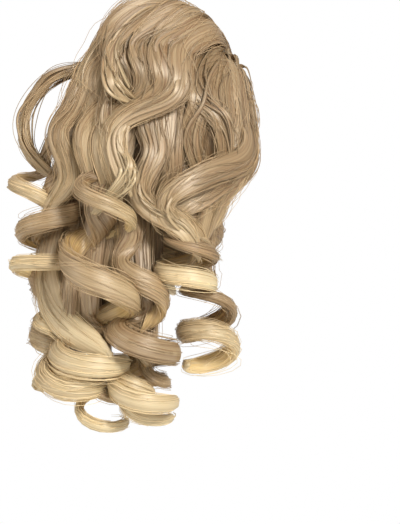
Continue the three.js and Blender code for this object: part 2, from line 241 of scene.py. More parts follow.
streaks = bpy.data.node_groups.new("hair_streaks", "ShaderNodeTree")
for name in ("Streak", "Lowlight", "Height"):
    streaks.interface.new_socket(name, in_out="OUTPUT", socket_type="NodeSocketFloat")
strand_at = add_node(streaks, "ShaderNodeAttribute", attribute_name="strand_at").outputs["Vector"]
streak = stretched_noise(streaks, strand_at, STREAK_STRETCH, STREAK_DETAIL)
lowlight = stretched_noise(streaks, strand_at, LOWLIGHT_STRETCH, LOWLIGHT_DETAIL)
fibre = stretched_noise(streaks, strand_at, FIBRE_STRETCH, FIBRE_DETAIL)
add_node(streaks, "NodeGroupOutput", {
    "Streak": mapped(streaks, streak, *STREAK_LIMITS),
    "Lowlight": mapped(streaks, lowlight, *LOWLIGHT_LIMITS),
    "Height": joined(streaks, "ShaderNodeMath", streak, fibre, operation="ADD"),
})
print("streak group with", len(streaks.nodes), "nodes")

# %% [markdown]
# The hair is a golden ash blonde with brown lowlights, and its ends are a pale lemon blonde. A ramp along
# the lock gives the change from root to end, a second attribute says how pale each lock ends, a third
# marks the inside of the ringlets, where a painted golden glow stands for the light that shines through
# them, and the streaks break them up. Bump from the streaks and a finer noise stands for the fibres that
# are too thin to model.

# %% Hair material
ROOT_COLOUR = (0.31, 0.24, 0.148, 1)
BODY_COLOUR = (0.305, 0.22, 0.127, 1)
END_COLOUR = (0.37, 0.262, 0.14, 1)
PALE_COLOUR = (0.55, 0.455, 0.285, 1)
# The golden colour is painted light: a glow on the inside of the ringlets for the light that passes through
# them.
PAINTED_GLOW_COLOUR = (0.72, 0.5, 0.19, 1)
BROWN_COLOUR = (0.22, 0.105, 0.042, 1)
BODY_AT = (0.25, 0.6)
BROWN_SHARE = 0.45
PAINTED_GLOW_SHARE = 0.5
PALE_EVENNESS = 0.6
FIBRE_BUMP = (0.5, 0.0005)
HAIR_SHADER = {
    "Roughness": 0.45,
    "IOR": 1.6,
    "Specular IOR Level": 0.85,
    "Specular Tint": (1.0, 0.92, 0.78, 1),
    "Subsurface Radius": (1.0, 0.55, 0.3),
    "Subsurface Scale": 0.004,
}
LOCK_SHADER = {
    "Subsurface Weight": 0.08,
    "Anisotropic": 0.8,
    "Anisotropic Rotation": 0.25,
}
LOCK_SHADES = ((0.6, 0.5, 0.41, 1), (1.15, 1.14, 1.1, 1))
# The loose strands' shades are brighter than the locks': painted light, for the light that single fibres
# catch.
LOOSE_PAINTED_LIGHT_SHADES = ((0.86, 0.79, 0.7, 1), (1.8, 1.75, 1.65, 1))


def share_of(tree, source, share):
    return joined(tree, "ShaderNodeMath", source, share, operation="MULTIPLY")


def hair_material(name, shades):
    """Hair whose streaks run between two shades, with its tree and its shader."""
    darkest, brightest = shades
    material, tree, shader = new_material(name)
    for key, value in HAIR_SHADER.items():
        shader.inputs[key].default_value = value
    shared = add_node(tree, "ShaderNodeGroup", node_tree=streaks).outputs
    share, pale, inner = (add_node(tree, "ShaderNodeAttribute", attribute_name=key).outputs["Fac"]
                          for key in ("share", "pale", "inner"))
    ramp = add_node(tree, "ShaderNodeValToRGB", {"Fac": share})
    ramp.color_ramp.elements[0].color = ROOT_COLOUR
    ramp.color_ramp.elements[1].color = END_COLOUR
    for at in BODY_AT:
        ramp.color_ramp.elements.new(at).color = BODY_COLOUR
    brown = share_of(tree, shared["Lowlight"], BROWN_SHARE)
    browned = mix_colour(tree, brown, ramp.outputs["Color"], BROWN_COLOUR)
    paled = mix_colour(tree, pale, browned, PALE_COLOUR)
    # Painted glow: the inside of the ringlets is gilded for the light that shines through the curl.
    glow_painted = mix_colour(tree, share_of(tree, inner, PAINTED_GLOW_SHARE), paled, PAINTED_GLOW_COLOUR)
    softest = mix_colour(tree, share_of(tree, pale, PALE_EVENNESS), darkest, brightest)
    shade = mix_colour(tree, shared["Streak"], softest, brightest)
    feed(tree, shader.inputs["Base Color"], mix_colour(tree, 1.0, glow_painted, shade, "MULTIPLY"))
    bumped(tree, shader, shared["Height"], *FIBRE_BUMP)
    return material, tree, shader


def draw_shine_out(tree, shader):
    """Let the shine run across the fibres, and some light pass through the lock."""
    for key, value in LOCK_SHADER.items():
        shader.inputs[key].default_value = value
    fibre_way = add_node(tree, "ShaderNodeTangent", direction_type="UV_MAP", uv_map="OFBake")
    feed(tree, shader.inputs["Tangent"], fibre_way.outputs["Tangent"])


hair, tree, shader = hair_material("hair", LOCK_SHADES)
draw_shine_out(tree, shader)
# The loose hair is the same hair painted brighter, as painted light on the thin fibres.
loose_hair, _, _ = hair_material("loose_hair", LOOSE_PAINTED_LIGHT_SHADES)
print("hair materials with", len(hair.node_tree.nodes), "and", len(loose_hair.node_tree.nodes), "nodes")

# %% [markdown]
# Each lock is one row of a table. Its guide runs from a root on the cap over a crest, a shoulder and a
# waist to the tip, and a curl winds round the guide with its radius, negative for a left hand, and pitch.
# It crosses the front at one level and starts at another. A roll of 1 is a ringlet, and a small one is a
# flat wave. The rows are those of the solids, so that the hair lies where they do, with one more column
# for how pale the lock ends. The locks of the far side follow a rule: a fan round the middle of the hair.

# %% Table of locks
WAVE = 0.2
COLUMNS = ("name", "root_angle", "crest", "shoulder", "waist", "tip", "radius", "pitch", "front_at",
           "start", "crest_width", "tip_width", "roll", "pale")
CROWN_LOCKS = [
    ("open_ring", 346, (-52, 6, 42), (-102, -9, 50), (-121, -42, 52), (-98, -82, 62),
     -3, 60, -75, -30, 16, 12, WAVE, 0.3),
    ("far_side", 338, (-44, 22, -8), (-66, 2, -6), (-80, -44, 2), (-84, -132, 14),
     -12, 62, -96, -50, 28, 15, 0.6, 0.5),
    ("far_ridge", 356, (-36, 34, 12), (-62, 18, 18), (-82, -32, 26), (-88, -116, 36),
     -11, 58, -70, -36, 30, 15, 0.5, 0.5),
    ("ridge", 16, (-24, 38, 34), (-52, 30, 42), (-76, -10, 52), (-88, -92, 62),
     -10, 64, -40, -10, 30, 16, 0.3, 0.4),
    ("dome", 30, (-14, 36, 58), (-42, 33, 70), (-64, 6, 82), (-84, -56, 90),
     -8, 80, -20, 10, 32, 22, WAVE, 0.3),
    ("roll_left", 41, (-18, 37, 70), (-44, 28, 84), (-58, -4, 98), (-80, -96, 98),
     -15, 76, 6, 30, 28, 12, WAVE, 0.3),
    ("wave_left", 50, (-8, 35, 76), (-30, 20, 92), (-43, -10, 105), (-72, -98, 104),
     -15, 76, 4, 28, 24, 11, WAVE, 0.3),
    ("wave_mid", 59, (0, 32, 80), (-20, 14, 97), (-35, -14, 109), (-64, -92, 112),
     -15, 76, 5, 26, 22, 12, WAVE, 0.3),
    ("wave_right", 72, (10, 24, 78), (-12, 6, 98), (-29, -20, 112), (-58, -86, 118),
     -15, 76, 6, 24, 22, 11, WAVE, 0.3),
    ("wave_hook", 352, (-46, 8, 86), (-64, -46, 107), (-42, -76, 120), (-70, -104, 112),
     -2, 80, -20, 0, 14, 8, WAVE, 0.6),
    ("crown_loop", 37, (-26, 38, 80), (-57, 9, 104), (-54, -16, 109), (-34, -36, 97),
     -2, 80, -20, 0, 9, 7, WAVE, 0.4),
]
RIGHT_LOCKS = [
    ("right_inner", 78, (13, 17, 60), (-6, -13, 86), (21, -42, 92), (10, -118, 72),
     2, 80, -16, -4, 18, 14, WAVE, 0.2),
    ("right_wave", 86, (16, 6, 58), (4, -10, 82), (5, -50, 90), (2, -124, 66),
     8, 74, -34, -10, 26, 16, WAVE, 0.3),
    ("right_fall", 92, (22, 0, 54), (17, -24, 76), (20, -62, 80), (6, -120, 60),
     7, 74, -44, -20, 26, 16, WAVE, 0.3),
    ("right_ring", 98, (38, -60, 74), (6, -78, 104), (-20, -99, 112), (15, -136, 88),
     2, 84, -76, -44, 18, 14, WAVE, 0.4),
    ("right_arch", 94, (33, -64, 66), (10, -92, 90), (-11, -107, 98), (8, -128, 94),
     2, 84, -76, -44, 20, 14, WAVE, 0.3),
    ("right_curl", 104, (16, -18, 56), (2, -66, 80), (-6, -108, 90), (-6, -157, 92),
     -19, 25, -150, -106, 16, 12, 1, 1),
    ("right_edge", 107, (30, -4, 42), (37, -32, 50), (36, -68, 58), (6, -118, 64),
     5, 80, -80, -50, 18, 12, WAVE, 0.2),
    ("right_under", 103, (25, 4, 48), (30, -34, 64), (28, -74, 74), (4, -124, 78),
     5, 80, -80, -50, 24, 18, WAVE, 0.2),
    ("pale_end", 116, (16, -15, 46), (14, -80, 58), (6, -148, 62), (11, -210, 82),
     -18, 27, -191, -142, 16, 13, 1, 1),
]
LEFT_LOCKS = [
    ("left_fall", 302, (-64, 2, 74), (-82, -22, 86), (-92, -62, 86), (-98, -112, 78),
     -8, 62, -62, -20, 26, 16, WAVE, 0.4),
    ("left_loop", 294, (-62, -8, 58), (-88, -36, 56), (-106, -66, 56), (-116, -104, 60),
     -18, 36, -93, -62, 16, 9, 1, 0.9),
    ("left_band", 284, (-60, -15, 72), (-82, -50, 72), (-98, -88, 72), (-102, -138, 72),
     20, 34, -108, -75, 16, 13, 1, 0.3),
    ("left_tip", 274, (-62, -20, 66), (-82, -64, 70), (-98, -108, 74), (-106, -150, 74),
     22, 28, -138, -105, 14, 9, 1, 1),
    ("left_low", 266, (-62, -25, 70), (-98, -110, 66), (-101, -168, 78), (-56, -200, 104),
     2, 84, -178, -110, 18, 22, WAVE, 0.8),
    ("low_curl", 258, (-60, -30, 60), (-84, -96, 64), (-98, -156, 68), (-102, -196, 66),
     -11, 27, -184, -156, 14, 7, 1, 0.8),
    ("low_disc", 250, (-62, -30, 70), (-80, -110, 76), (-88, -186, 86), (-85, -230, 70),
     -21, 32, -218, -188, 16, 14, 1, 1),
]
FRONT_LOCKS = [
    ("pale_ring", 300, (-46, -8, 86), (-58, -36, 100), (-64, -72, 104), (-63, -122, 108),
     -20, 60, -97, -66, 20, 10, 1, 0.9),
    ("front_bow", 270, (-46, -16, 90), (-54, -60, 98), (-66, -100, 104), (-64, -180, 104),
     -22, 66, -150, -98, 24, 18, 1, 0.4),
    ("bow_end", 262, (-44, -30, 80), (-52, -90, 84), (-60, -140, 88), (-62, -178, 88),
     -18, 40, -153, -140, 16, 14, 1, 0.3),
    ("centre_fall", 60, (-26, -4, 84), (-32, -48, 104), (-32, -92, 110), (4, -135, 103),
     7, 60, -75, -30, 22, 14, WAVE, 0.4),
    ("centre_twist", 90, (-12, -6, 80), (-16, -50, 98), (-14, -86, 98), (-4, -140, 92),
     -12, 72, -110, -70, 20, 14, 0.5, 0.3),
    ("brown_hook", 225, (-36, -22, 84), (-46, -80, 90), (-42, -128, 98), (-28, -184, 98),
     -14, 64, -150, -112, 22, 15, 0.7, 0.15),
    ("low_wide", 250, (-54, -30, 84), (-66, -96, 86), (-74, -162, 90), (-72, -212, 78),
     -24, 30, -205, -172, 18, 16, 1, 0.9),
    ("low_ring", 150, (-34, -40, 78), (-40, -120, 86), (-36, -176, 94), (-35, -238, 78),
     -22, 40, -190, -160, 18, 14, 1, 0.8),
    ("low_bottom", 205, (-50, -40, 66), (-60, -130, 70), (-64, -206, 78), (-64, -250, 58),
     -17, 22, -246, -208, 14, 8, 1, 0.9),
    ("low_fill", 120, (-30, -40, 72), (-34, -120, 80), (-38, -192, 82), (-44, -236, 80),
     -12, 26, -224, -190, 14, 12, 1, 0.9),
    ("low_side", 180, (-26, -40, 60), (-30, -130, 68), (-32, -200, 80), (-33, -247, 62),
     -17, 30, -242, -202, 16, 10, 1, 0.9),
]
FAR_LOCKS = 9
FAR_ANGLES = (104, 264)
FAR_ROOTS = (126, 237)
FAR_REACHES = (0.5, 0.8, 0.94, 0.95)
FAR_CRESTS = (-34, -48)
FAR_TIPS = (-140, -228)
FAR_STAGGER = (-16, 16)
FAR_SHOULDER = 0.35
FAR_WAIST = 0.5
FAR_RADII = (-12, -18)
FAR_PITCHES = (40, 60)
FAR_FRONTS = (0, 44)
FAR_WIDTHS = (28, 14)
FAR_PALE = 0.7
SPREAD_ACROSS = 52
SPREAD_OUT = 76
WEARER_CLEAR = 26
OUTER_RING = 0.92
INNER_RING = 0.55


def spread(index, salt):
    """A repeatable number from 0 to 1."""
    return (math.sin(index * 12.9898 + salt * 78.233) * 43758.5453) % 1


def lerp(limits, share):
    return limits[0] + (limits[1] - limits[0]) * share


def around(degrees, reach, up):
    """A guide point round the middle of the hair, kept clear of the wearer."""
    angle = math.radians(degrees)
    across = HAIR_MIDDLE[0] + SPREAD_ACROSS * reach * math.sin(angle)
    out = HAIR_MIDDLE[2] + SPREAD_OUT * reach * math.cos(angle)
    push = max(0, WEARER_CLEAR - out * math.cos(VIEW_TURN) + across * math.sin(VIEW_TURN))
    return across - push * math.sin(VIEW_TURN), up, out + push * math.cos(VIEW_TURN)


def far_lock(i):
    share = i / (FAR_LOCKS - 1)
    low = lerp(FAR_TIPS, share) + lerp(FAR_STAGGER, spread(i, 1))
    levels = (lerp(FAR_CRESTS, spread(i, 2)), FAR_SHOULDER * low, FAR_WAIST * low, low)
    guide = [around(lerp(FAR_ANGLES, share), reach, level) for reach, level in zip(FAR_REACHES, levels)]
    front_at = low + lerp(FAR_FRONTS, spread(i, 5))
    return ("far_%d" % i, lerp(FAR_ROOTS, share), *guide, lerp(FAR_RADII, spread(i, 3)),
            lerp(FAR_PITCHES, spread(i, 4)), front_at, FAR_WAIST * low, *FAR_WIDTHS, 1, FAR_PALE)


WEFTS = {
    "crown": CROWN_LOCKS,
    "right": RIGHT_LOCKS,
    "left": LEFT_LOCKS,
    "front": FRONT_LOCKS,
    "far": [far_lock(i) for i in range(FAR_LOCKS)],
}
SEATS = {
    # weft: ring of the cap, and the two angles its sewn strip runs between
    "crown": (OUTER_RING, 332, 434),
    "right": (OUTER_RING, 77, 120),
    "left": (OUTER_RING, 244, 316),
    "front": (INNER_RING, 52, 308),
    "far": (OUTER_RING, 123, 240),
}
print({name: len(rows) for name, rows in WEFTS.items()}, "locks")

# %% [markdown]
# A lock's path is a smooth curve from its root through its four guide points, with the curl added where the
# lock has fallen below its start. At each step the path also knows which way the flat of the lock faces.
# A place and a facing are what a sweep needs. The waves' places, the facings and the widths are smoothed, so
# that a broad lock doesn't fold over in a tight bend, and working them out in arrays keeps the step fast.

# %% Paths of the locks
CAP_RADIUS = 36
CAP_DEPTH = 24
CAP_CLEAR = 0.4
ROOT_LIFT = 1.2
ROOT_WIDTH = 9
WIDEN_OVER = 0.25
NARROW_AFTER = 0.35
NARROW_OVER = 0.35
LOCK_THINNESS = 0.34
RINGLET_FULLNESS = 0.26
FULL_AFTER = 0.4
FULL_OVER = 0.3
CURL_AFTER = 0.3
CURL_GROWTH = 28
TIP_TAPER = 0.09
TIP_SHARE = 0.16
TIP_CLOSING = 0.15
CLOSING_OVER = 20
SAMPLES = 160
SMOOTHING = 85
FACING_SMOOTHING = 60
FACE_VIEWER = 0.6
FACE_UP = 0.9
FACE_UP_FROM = -60
FACE_UP_OVER = 90
BEND_WIDTH = 0.9
WIDTH_SMOOTHING = 6
STEP_BEND = 24
TINY = 1e-9


def smoothstep(value):
    value = np.clip(value, 0, 1)
    return value * value * (3 - 2 * value)


def unit(vectors):
    return vectors / np.maximum(np.linalg.norm(vectors, axis=-1, keepdims=True), TINY)


def dot(first, second):
    return (first * second).sum(-1, keepdims=True)


def cap_point(degrees, ring, lift=0):
    angle = math.radians(degrees)
    depth = CAP_DEPTH * (1 - ring * ring) + lift
    return MM * np.array([ring * CAP_RADIUS * math.sin(angle), -depth, ring * CAP_RADIUS * math.cos(angle)])


def clear_of_cap(points):
    """The points, with those that lie inside the cap or past its rim moved out to its outer face."""
    ring = np.minimum(1, np.hypot(points[..., 0], points[..., 2]) / (CAP_RADIUS * MM))
    face = -MM * (CAP_DEPTH * (1 - ring * ring) + CAP_CLEAR)
    moved = points.copy()
    moved[..., 1] = np.minimum(points[..., 1], face)
    return moved


def smooth_curve(knots, t):
    """Points of a centripetal Catmull-Rom curve through the knots at the shares t."""
    knots = np.vstack([2 * knots[0] - knots[1], knots, 2 * knots[-1] - knots[-2]])
    at = t * (len(knots) - 3)
    first = np.minimum(at.astype(int), len(knots) - 4)
    w = (at - first)[:, None]
    p0, p1, p2, p3 = (knots[first + k] for k in range(4))
    spans = (p1 - p0, p2 - p1, p3 - p2)
    d0, d1, d2 = (np.sqrt(np.linalg.norm(span, axis=1))[:, None] for span in spans)
    leave = d1 * ((p1 - p0) / d0 - (p2 - p0) / (d0 + d1) + (p2 - p1) / d1)
    arrive = d1 * ((p2 - p1) / d1 - (p3 - p1) / (d1 + d2) + (p3 - p2) / d2)
    square = 3 * (p2 - p1) - 2 * leave - arrive
    cube = 2 * (p1 - p2) + leave + arrive
    return p1 + w * (leave + w * (square + w * cube))


def smoothed(values, passes):
    """Each value drawn to its neighbours, again and again, with the two ends kept."""
    for _ in range(passes):
        values = np.vstack([values[:1], (values[:-2] + 2 * values[1:-1] + values[2:]) / 4, values[-1:]])
    return values


def lock_path(row, ring):
    """The centre line of a lock and the way it faces, with the row as a dictionary."""
    lock = dict(zip(COLUMNS, row))
    knots = np.array([cap_point(lock["root_angle"], ring, ROOT_LIFT)]
                     + [place(*lock[knot]) for knot in ("crest", "shoulder", "waist", "tip")])
    t = np.linspace(0, 1, SAMPLES)
    point = smooth_curve(knots, t)
    along = unit(np.gradient(point, axis=0))
    viewer = unit(place(0, 0, 1))
    front = unit(viewer - along * dot(along, viewer))
    left = np.cross(along, front)
    up = point[:, 2:] / MM
    started = np.where(t[:, None] > CURL_AFTER, smoothstep((lock["start"] - up) / CURL_GROWTH), 0)
    closing = TIP_CLOSING * lock["roll"] * smoothstep(1 - (up - lock["tip"][1]) / CLOSING_OVER)
    turn = np.sign(lock["radius"]) * 2 * math.pi * ((lock["front_at"] - up) / lock["pitch"] + closing)
    reach = abs(lock["radius"]) * MM * started
    outward = point - place(*HAIR_MIDDLE)
    outward[:, 2] = 0
    outward = unit(outward) + FACE_VIEWER * viewer
    outward[:, 2:] = FACE_UP * smoothstep((up - FACE_UP_FROM) / FACE_UP_OVER)
    radial = front * np.cos(turn) + left * np.sin(turn)
    point = point + front * reach * lock["roll"] * np.cos(turn) + left * reach * np.sin(turn)
    point = smoothed(point, round(SMOOTHING * (1 - lock["roll"])))
    facing = outward + (radial - outward) * started * lock["roll"]
    along = unit(np.gradient(point, axis=0))
    for _ in range(FACING_SMOOTHING):
        facing = smoothed(facing, 1)
        facing = unit(facing - along * dot(along, facing))
    return lock, point, facing


def lock_width(lock, share):
    """The width at a share of the length: it grows to the crest's, turns into the tip's, and tapers."""
    full = ROOT_WIDTH + (lock["crest_width"] - ROOT_WIDTH) * smoothstep(share / WIDEN_OVER)
    width = full + (lock["tip_width"] - full) * smoothstep((share - NARROW_AFTER) / NARROW_OVER)
    taper = np.sqrt(np.clip((1 - share) / TIP_TAPER, 0, 1))
    return MM * width * (TIP_SHARE + (1 - TIP_SHARE) * taper)


def rolled(lock, share):
    """How far a lock has turned from a flat wave into a full ringlet."""
    return lock["roll"] * smoothstep((share - FULL_AFTER) / FULL_OVER)


def path_steps(row, ring, steps, thinness=LOCK_THINNESS):
    """The path of a lock at steps of length that lie closer where it bends."""
    lock, point, facing = lock_path(row, ring)
    piece = np.linalg.norm(np.diff(point, axis=0), axis=1)
    length = np.concatenate([[0], np.cumsum(piece)])
    turned = np.linalg.norm(np.diff(unit(np.gradient(point, axis=0)), axis=0), axis=1)
    crowd = np.concatenate([[0], np.cumsum(piece + STEP_BEND * MM * turned)])
    wanted = np.interp(np.linspace(0, crowd[-1], steps), crowd, length)

    def resampled(values):
        return np.stack([np.interp(wanted, length, column) for column in values.T], 1)

    point = resampled(point)
    along = unit(np.gradient(point, axis=0))
    facing = resampled(facing)
    facing = unit(facing - along * dot(along, facing))
    share = wanted / length[-1]
    across = np.cross(along, facing)
    edgewise = np.abs(dot(np.gradient(along, wanted, axis=0), across)[:, 0])
    width = np.minimum(lock_width(lock, share), BEND_WIDTH / np.maximum(edgewise, TINY))
    width = smoothed(width[:, None], WIDTH_SMOOTHING)[:, 0]
    depth = width * (thinness + RINGLET_FULLNESS * rolled(lock, share))
    return dict(lock=lock, point=point, across=across, facing=facing, share=share,
                along_mm=wanted / MM, half_width=width / 2, half_depth=depth / 2)


lengths = [path_steps(row, SEATS[name][0], SAMPLES)["along_mm"][-1]
           for name, rows in WEFTS.items() for row in rows]
print("longest lock", round(max(lengths)), "mm")

# %% [markdown]
# The body of a lock is a flat oval sweep with ridges, as fibres gather into thin tresses. It could be a
# curve with a bevel, but a bevel has one section all the way, and here the ridges drift as the lock goes
# down. So the rings are written straight into a mesh, together with the attributes the streaks read.

# %% Ridged bodies of the locks
RIDGES = [
    # height mm, pitch mm, drift along the lock
    (0.15, 4.1, 0.012),
    (0.09, 2.3, -0.02),
]
RIDGE_SHIFT = 0.37
RIDGE_FADE = 0.5
FULL_RIDGE_DEPTH = 1.5
FACES_APART = 40
INNER_EDGE = 0.25
PALE_FROM = 0.58
PALE_OVER = 0.36
STRIP_WIDTH = 5
STRIP_DEPTH = 2.4
STRIP_RINGS = (10, 48)
LANE_MARGIN = 0.02
END_MAP_U = 0.997
CREST_STRAY = 0.5
SHOULDER_STRAY = 0.8
TIP_STRAY = 0.4
ROLL_HOLD = 0.6
ROOT_STRAY = 6
RADIUS_SHARES = (0.88, 1.1)
PITCH_STRAY = 0.06
FRONT_STRAY = 0.6
TIP_WIDTH_SHARES = (0.8, 1)
LOCK_NUMBERS = 100
KIND_NUMBERS = 10
TRESSES = [
    # of each lock: how many, stray mm, least and most width mm, thinness, sides, steps
    (1, 0, None, None, LOCK_THINNESS, 30, 76),
    (2, 5, 5, 9, 0.18, 10, 56),
    (5, 8, 1.5, 3.5, 0.25, 5, 54),
    (7, 11, 0.6, 1.2, 0.5, 3, 50),
]


def paleness(lock, share):
    return lock["pale"] * smoothstep((share - PALE_FROM) / PALE_OVER)


def lock_body(row, ring, number, thinness, sides, steps):
    """Vertices and attributes of one lock, ring by ring."""
    path = path_steps(row, ring, steps, thinness)
    angle = np.linspace(0, 2 * math.pi, sides, endpoint=False)
    x = np.cos(angle)
    y = np.sin(angle)
    face = np.sign(y)
    along_mm = path["along_mm"][:, None]
    across_mm = path["half_width"][:, None] * x / MM
    ridge = np.zeros_like(across_mm)
    for k, (height, pitch, drift) in enumerate(RIDGES):
        phase = across_mm / pitch + drift * along_mm + spread(number, k) + RIDGE_SHIFT * face
        ridge += height * np.sin(2 * math.pi * phase)
    ridged = np.minimum(1, path["half_depth"] / MM / FULL_RIDGE_DEPTH)[:, None]
    ridge *= MM * np.abs(y) ** RIDGE_FADE * ridged
    depth = path["half_depth"][:, None] * y + face * ridge
    corners = (path["point"][:, None] + path["across"][:, None] * across_mm[:, :, None] * MM
               + path["facing"][:, None] * depth[:, :, None])
    corners = clear_of_cap(corners)
    strand = np.stack(np.broadcast_arrays(across_mm + FACES_APART * face, along_mm, float(number)), -1)
    share = np.broadcast_to(path["share"][:, None], across_mm.shape)
    pale = paleness(path["lock"], share)
    # The inside face of a ringlet is marked for the painted glow of light that passes through the curl.
    inner = rolled(path["lock"], share) * smoothstep((INNER_EDGE - y) / (2 * INNER_EDGE))
    return corners.reshape(-1, 3), strand.reshape(-1, 3), share.ravel(), pale.ravel(), inner.ravel()


def strip_body(seat, sides, steps):
    """Vertices and attributes of the sewn strip that holds the roots, an arc on the cap."""
    ring, start, end = seat
    angle = np.linspace(0, 2 * math.pi, sides, endpoint=False)
    aside = -STRIP_WIDTH / 2 * np.cos(angle)
    lift = CAP_CLEAR + (STRIP_DEPTH - CAP_CLEAR) * (0.5 + 0.5 * np.sin(angle))
    corners = np.array([[cap_point(degrees, ring + a / CAP_RADIUS, b) for a, b in zip(aside, lift)]
                        for degrees in np.linspace(start, end, steps)])
    round_mm = np.radians(np.linspace(start, end, steps)) * ring * CAP_RADIUS
    strand = np.stack(np.broadcast_arrays(round_mm[:, None], lift[None] + aside[None], float(start)), -1)
    plain = np.zeros(steps * sides)
    return corners.reshape(-1, 3), strand.reshape(-1, 3), plain, plain, plain


def ring_faces(rings, sides, base):
    """Quads of a tube of rings, with a many-sided face at each end."""
    k, i = np.meshgrid(np.arange(rings - 1), np.arange(sides), indexing="ij")
    a = base + k * sides + i
    b = base + k * sides + (i + 1) % sides
    quads = np.stack([a, a + sides, b + sides, b], -1).reshape(-1, 4).tolist()
    first = list(range(base, base + sides))
    last = list(range(base + (rings - 1) * sides, base + rings * sides))[::-1]
    return quads + [first, last]


def ring_map(rings, sides, lane, lanes):
    """A place of its own for each lock on the map: U runs along the lock, V round it."""
    k, i = np.meshgrid(np.arange(rings - 1), np.arange(sides), indexing="ij")
    u = np.stack([k, k + 1, k + 1, k], -1) / rings
    v = np.stack([i, i, i + 1, i + 1], -1) / sides
    v = (lane + LANE_MARGIN + (1 - 2 * LANE_MARGIN) * v) / lanes
    ends = np.full((2 * sides, 2), (END_MAP_U, (lane + 0.5) / lanes))
    return np.concatenate([np.stack([u, v], -1).reshape(-1, 2), ends])


def add_values(mesh, name, values):
    """Store a number or a vector at each point of a mesh."""
    kind, field = ("FLOAT_VECTOR", "vector") if values.ndim == 2 else ("FLOAT", "value")
    attribute = mesh.attributes.new(name, kind, "POINT")
    attribute.data.foreach_set(field, np.ascontiguousarray(values, dtype=np.float32).ravel())


def loosened(row, number, stray, thin, wide):
    """A lock that wanders a little from the lock of the row, less where a ringlet holds it."""
    lock = dict(zip(COLUMNS, row))
    loose = 1 - ROLL_HOLD * lock["roll"]

    def vary(salt, low, high):
        return lerp((low, high), spread(number, salt))

    strays = {"crest": CREST_STRAY, "shoulder": SHOULDER_STRAY, "waist": loose, "tip": TIP_STRAY * loose}
    for salt, (knot, part) in enumerate(strays.items()):
        reach = part * stray
        lock[knot] = tuple(c + vary(3 * salt + axis, -reach, reach) for axis, c in enumerate(lock[knot]))
    lock["root_angle"] += vary(21, -ROOT_STRAY, ROOT_STRAY)
    lock["radius"] *= vary(22, *RADIUS_SHARES)
    lock["pitch"] *= 1 + vary(23, -PITCH_STRAY, PITCH_STRAY) * loose
    lock["front_at"] += vary(24, -FRONT_STRAY, FRONT_STRAY) * stray * loose
    lock["crest_width"] = vary(25, thin, wide)
    lock["tip_width"] = vary(26, *TIP_WIDTH_SHARES) * lock["crest_width"]
    return tuple(lock.values())


def weft_body(name, rows):
    """One mesh with all the locks of a weft, and the thinner tresses that wander from them."""
    planned = []
    for number, row in enumerate(rows):
        for count, stray, thin, wide, thinness, sides, steps in TRESSES:
            for k in range(count):
                own = LOCK_NUMBERS * number + KIND_NUMBERS * sides + k
                shape = loosened(row, own, stray, thin, wide) if stray else row
                planned.append((shape, SEATS[name][0], own, thinness, sides, steps))
    parts = [lock_body(*plan) for plan in planned] + [strip_body(SEATS[name], *STRIP_RINGS)]
    corners, *attributes = map(np.concatenate, zip(*parts))
    shapes = [(steps, sides) for *_, sides, steps in planned] + [STRIP_RINGS[::-1]]
    faces, lanes, base = [], [], 0
    for lane, (steps, sides) in enumerate(shapes):
        faces += ring_faces(steps, sides, base)
        lanes.append(ring_map(steps, sides, lane, len(shapes)))
        base += sides * steps
    mesh = bpy.data.meshes.new(name + "_hair")
    mesh.from_pydata(corners.tolist(), [], faces)
    layer = mesh.uv_layers.new(name="OFBake")
    layer.uv.foreach_set("vector", np.concatenate(lanes).astype(np.float32).ravel())
    for key, values in zip(("strand_at", "share", "pale", "inner"), attributes):
        add_values(mesh, key, values)
    mesh.materials.append(hair)
    mesh.shade_smooth()
    return new_object(name + "_hair", mesh)


def triangles(piece):
    return sum(len(face.vertices) - 2 for face in piece.data.polygons)


bodies = {name: weft_body(name, rows) for name, rows in WEFTS.items()}
print("triangles of the bodies", {name: triangles(piece) for name, piece in bodies.items()})

# %% [markdown]
# Loose strands lie on the locks and stray from them, and without them the locks would look moulded. They
# repeat along a path, so Geometry Nodes make them: each guide is copied many times, each copy keeps its
# own place in the lock's section and sways a little, and a thin three-sided tube is swept along it.

# %% Strand tree
STRAND_INPUTS = [
    ("Strands", "NodeSocketInt", 30),
    ("Thickness", "NodeSocketFloat", 0.00022),
    ("Reach", "NodeSocketFloat", 1.2),
    ("Sway", "NodeSocketFloat", 0.5),
    ("Seed", "NodeSocketInt", 1),
    ("Material", "NodeSocketMaterial", loose_hair),
]
SWAY_RATES = (6.0, 14.0)
ANY_ANGLE = (0.0, 6.28)
REACH_SHARES = (0.8, 1.1)
STREAK_PLACES = (-30.0, 30.0)
STRAND_ENDS = (0.86, 1.0)
ROOTED_OVER = 0.15
TUBE_SIDES = 3
LOCK_IDS = 1000.0


def geometry_tree(name, inputs):
    """A tree from geometry to geometry, with more inputs by name and kind."""
    tree = bpy.data.node_groups.new(name, "GeometryNodeTree")
    for way in ("INPUT", "OUTPUT"):
        tree.interface.new_socket("Geometry", in_out=way, socket_type="NodeSocketGeometry")
    for key, kind, _ in inputs:
        tree.interface.new_socket(key, in_out="INPUT", socket_type=kind)
    return tree


def named(tree, name, kind="FLOAT"):
    """The values that are stored under a name."""
    made = add_node(tree, "GeometryNodeInputNamedAttribute", {"Name": name}, data_type=kind)
    return made.outputs["Attribute"]


strands = geometry_tree("strands_along_locks", STRAND_INPUTS)
given = add_node(strands, "NodeGroupInput").outputs
curve = joined(strands, "GeometryNodeMeshToCurve", given["Geometry"])
copies = add_node(strands, "GeometryNodeDuplicateElements", {"Geometry": curve, "Amount": given["Strands"]},
                  domain="SPLINE").outputs


def maths(operation, *sources):
    return joined(strands, "ShaderNodeMath", *sources, operation=operation)


strand_id = maths("MULTIPLY_ADD", named(strands, "number"), LOCK_IDS, copies["Duplicate Index"])


